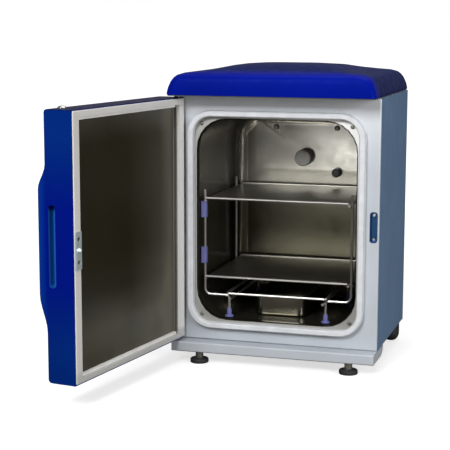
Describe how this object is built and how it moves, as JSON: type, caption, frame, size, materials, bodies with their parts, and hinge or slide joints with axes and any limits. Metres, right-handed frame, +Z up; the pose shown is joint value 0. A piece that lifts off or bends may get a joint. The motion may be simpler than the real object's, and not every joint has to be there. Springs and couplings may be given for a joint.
{
  "type": "laboratory incubator",
  "caption": "Bench-top laboratory incubator with a blue hinged door and cover, a sealed steel chamber, a wire rack with two sliding shelves, a water tray and levelling feet.",
  "frame": {"origin": "centre of the base cover's underside, at the cabinet's mid-width and mid-depth", "axes": "+X to the right of someone facing the door, +Y to the back, +Z up"},
  "size_m": [0.543, 0.7581, 0.612],
  "materials": {
    "side_paint": "satin",
    "panel_paint": "satin",
    "blue_moulding": "gloss",
    "frame_paint": "satin",
    "steel": "satin",
    "bright_steel": "polished",
    "dark_panel": "polished",
    "seal_silicone": "matte",
    "blue_silicone": "matte",
    "grey_silicone": "matte",
    "black_rubber": "matte",
    "black_plastic": "matte",
    "insulation": "matte",
    "heater": "matte",
    "board": "matte",
    "strike_steel": "satin",
    "fascia_film": "satin",
    "display_glass": "gloss",
    "key_film": "satin"
  },
  "bodies": {
    "cabinet": {"base_cover": "panel_paint", "cabinet_shell": "side_paint", "chamber_liner": "steel", "control_board": "board", "door_seal": "seal_silicone", "flange_screw_lower_left": "bright_steel", "flange_screw_lower_right": "bright_steel", "flange_screw_upper_left": "bright_steel", "flange_screw_upper_right": "bright_steel", "foot_rear_left": "black_rubber", "foot_rear_right": "black_rubber", "front_panel": "panel_paint", "front_plinth": "panel_paint", "gas_inlet": "bright_steel", "heater_mat": "heater", "hinge_pin_lower": "bright_steel", "hinge_pin_upper": "bright_steel", "insulation": "insulation", "port_tube": "black_plastic", "power_inlet": "black_plastic", "power_supply": "bright_steel", "rack_clip_lower": "blue_silicone", "rack_clip_upper": "blue_silicone", "rack_cradle": "bright_steel", "rack_foot_front_left": "blue_silicone", "rack_foot_front_right": "blue_silicone", "rack_foot_rear_left": "blue_silicone", "rack_foot_rear_right": "blue_silicone", "rack_side_left": "bright_steel", "rack_side_right": "bright_steel", "rear_panel": "side_paint", "sensor_cap": "black_plastic", "strike_cup": "strike_steel", "top_cover": "blue_moulding", "top_plate": "panel_paint", "wall_bolt_left": "bright_steel", "wall_bolt_right": "bright_steel"},
    "door": {"door_shell": "blue_moulding", "door_frame": "frame_paint", "door_trim": "seal_silicone", "door_panel": "dark_panel", "door_insulation": "insulation", "latch_plate": "bright_steel", "door_top_plug": "bright_steel", "control_fascia": "fascia_film", "display_window": "display_glass"},
    "latch_bolt": {"latch_bolt": "bright_steel"},
    "key_1": {"key_1": "key_film"},
    "key_2": {"key_2": "key_film"},
    "key_3": {"key_3": "key_film"},
    "shelf_upper": {"shelf_upper": "steel"},
    "shelf_lower": {"shelf_lower": "steel"},
    "water_tray": {"water_tray": "bright_steel"},
    "port_plug": {"port_plug": "grey_silicone"},
    "rocker_switch": {"rocker_switch": "black_plastic"},
    "foot_front_left": {"foot_stem_front_left": "bright_steel", "foot_pad_front_left": "black_rubber"},
    "foot_front_right": {"foot_stem_front_right": "bright_steel", "foot_pad_front_right": "black_rubber"}
  },
  "joints": [
    {"name": "door_hinge", "type": "hinge", "parent": "cabinet", "child": "door", "pos_m": [-0.2019, -0.1714, 0.255], "axis": [0, 0, 1], "range_deg": [-11, 98.8]},
    {"name": "latch_spring", "type": "slide", "parent": "door", "child": "latch_bolt", "axis": [-0.9882, 0.153, 0], "range_m": [0, 0.005], "stiffness_N_per_m": 600, "springref_m": -0.004},
    {"name": "upper_shelf_slide", "type": "slide", "parent": "cabinet", "child": "shelf_upper", "axis": [0, 1, 0], "range_m": [-0.2, 0]},
    {"name": "lower_shelf_slide", "type": "slide", "parent": "cabinet", "child": "shelf_lower", "axis": [0, 1, 0], "range_m": [-0.2, 0]},
    {"name": "tray_slide", "type": "slide", "parent": "cabinet", "child": "water_tray", "axis": [0, 1, 0], "range_m": [-0.18, 0]},
    {"name": "port_plug_slide", "type": "slide", "parent": "cabinet", "child": "port_plug", "axis": [0, 1, 0], "range_m": [-0.066, 0]},
    {"name": "switch_rock", "type": "hinge", "parent": "cabinet", "child": "rocker_switch", "pos_m": [0.105, 0.157, 0.0723], "axis": [-1, 0, 0], "range_deg": [0, 16]},
    {"name": "foot_left_screw", "type": "slide", "parent": "cabinet", "child": "foot_front_left", "axis": [0, 0, 1], "range_m": [-0.006, 0.005]},
    {"name": "foot_right_screw", "type": "slide", "parent": "cabinet", "child": "foot_front_right", "axis": [0, 0, 1], "range_m": [-0.006, 0.005]},
    {"name": "key_1_press", "type": "slide", "parent": "door", "child": "key_1", "axis": [0.9882, -0.153, 0], "range_m": [0, 0.0008], "stiffness_N_per_m": 500, "springref_m": -0.0008},
    {"name": "key_2_press", "type": "slide", "parent": "door", "child": "key_2", "axis": [0.9882, -0.153, 0], "range_m": [0, 0.0008], "stiffness_N_per_m": 500, "springref_m": -0.0008},
    {"name": "key_3_press", "type": "slide", "parent": "door", "child": "key_3", "axis": [0.9882, -0.153, 0], "range_m": [0, 0.0008], "stiffness_N_per_m": 500, "springref_m": -0.0008}
  ]
}
